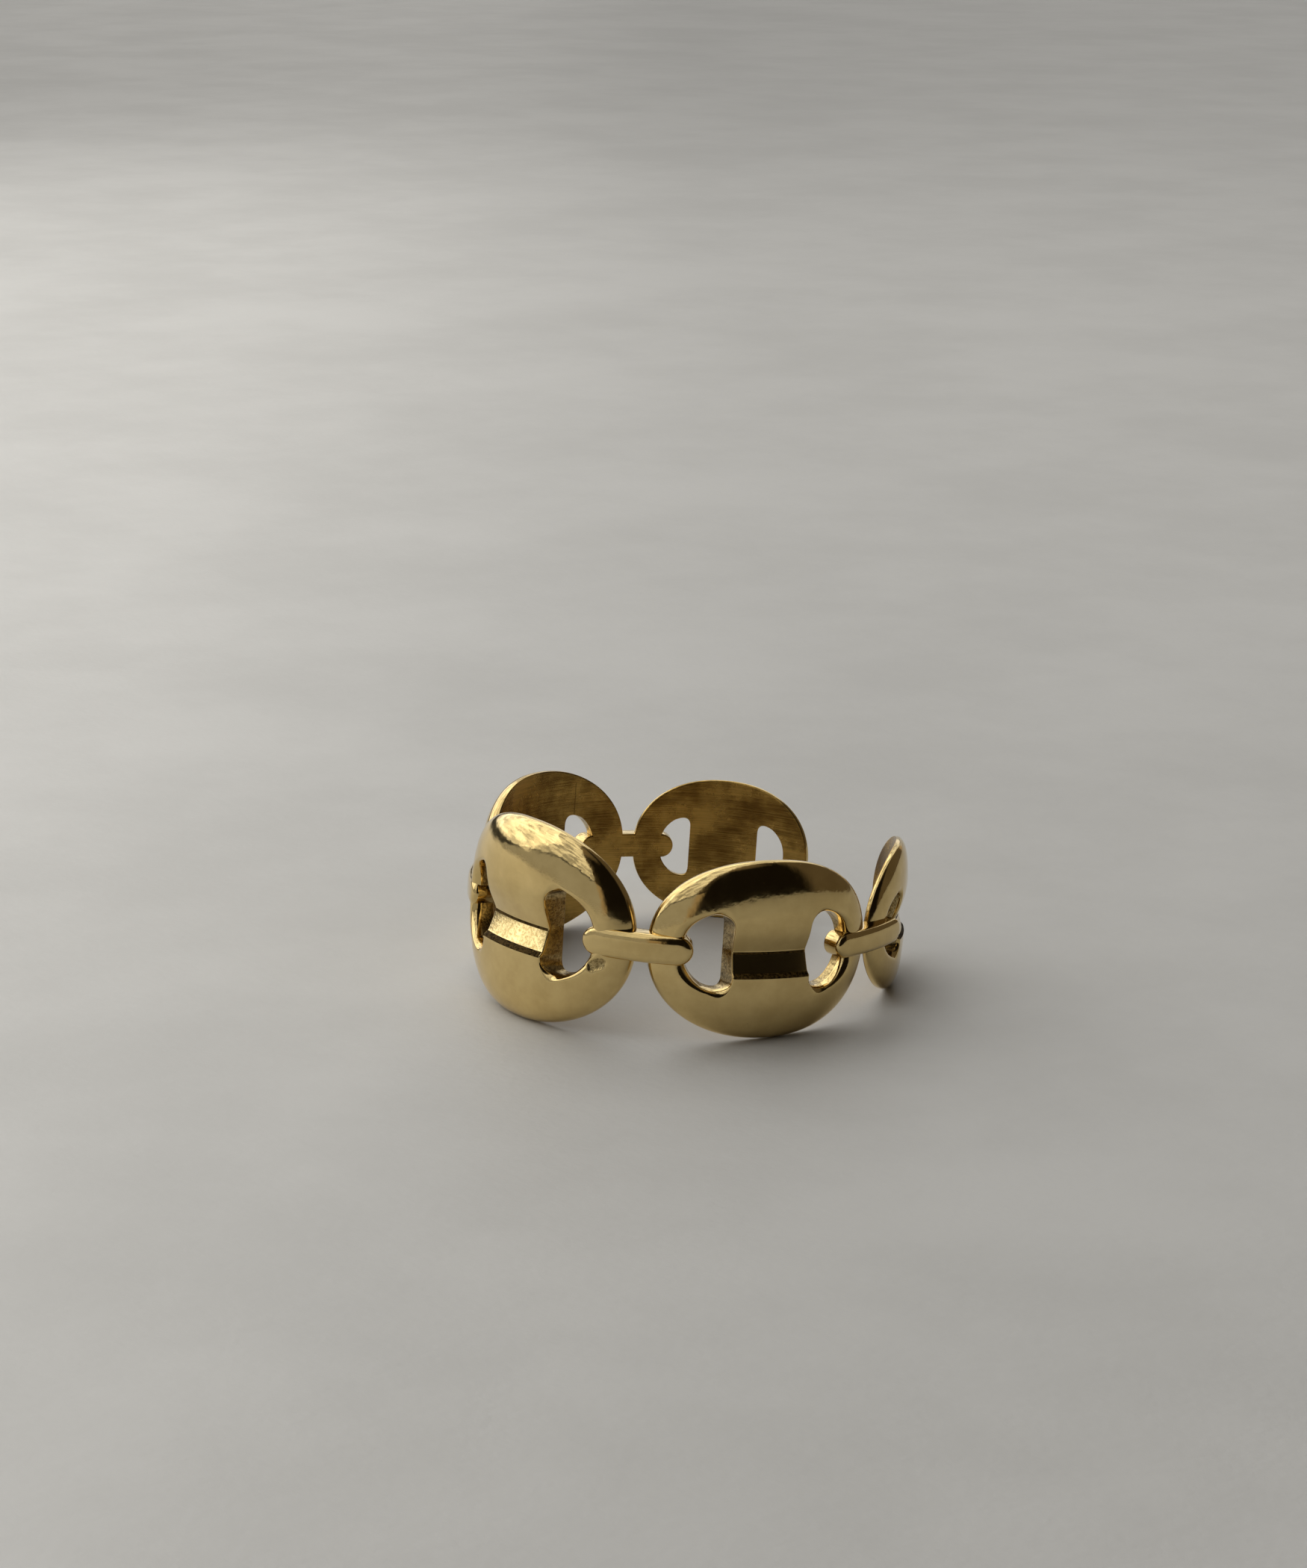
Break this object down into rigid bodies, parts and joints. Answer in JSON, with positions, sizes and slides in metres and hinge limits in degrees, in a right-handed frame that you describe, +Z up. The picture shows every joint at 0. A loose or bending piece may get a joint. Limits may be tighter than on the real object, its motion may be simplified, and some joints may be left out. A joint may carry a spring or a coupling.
{
  "type": "chain link ring",
  "caption": "Open finger ring cast as puffed oval chain links, pierced and grooved, that are joined by short bars and grow smaller towards the gap.",
  "frame": {"origin": "where the axis of the finger hole meets the surface that the ring lies on", "axes": "+Z up from that surface, the largest link in front at -Y, the gap at +Y, and +X to the right as seen from the front"},
  "size_m": [0.0192, 0.0185, 0.0086],
  "materials": {
    "gold": "polished gold coloured metal, brushed along the inside and left rough as cast in the grooves and holes"
  },
  "bodies": {
    "root": {"chain_ring": "gold"}
  },
  "joints": []
}
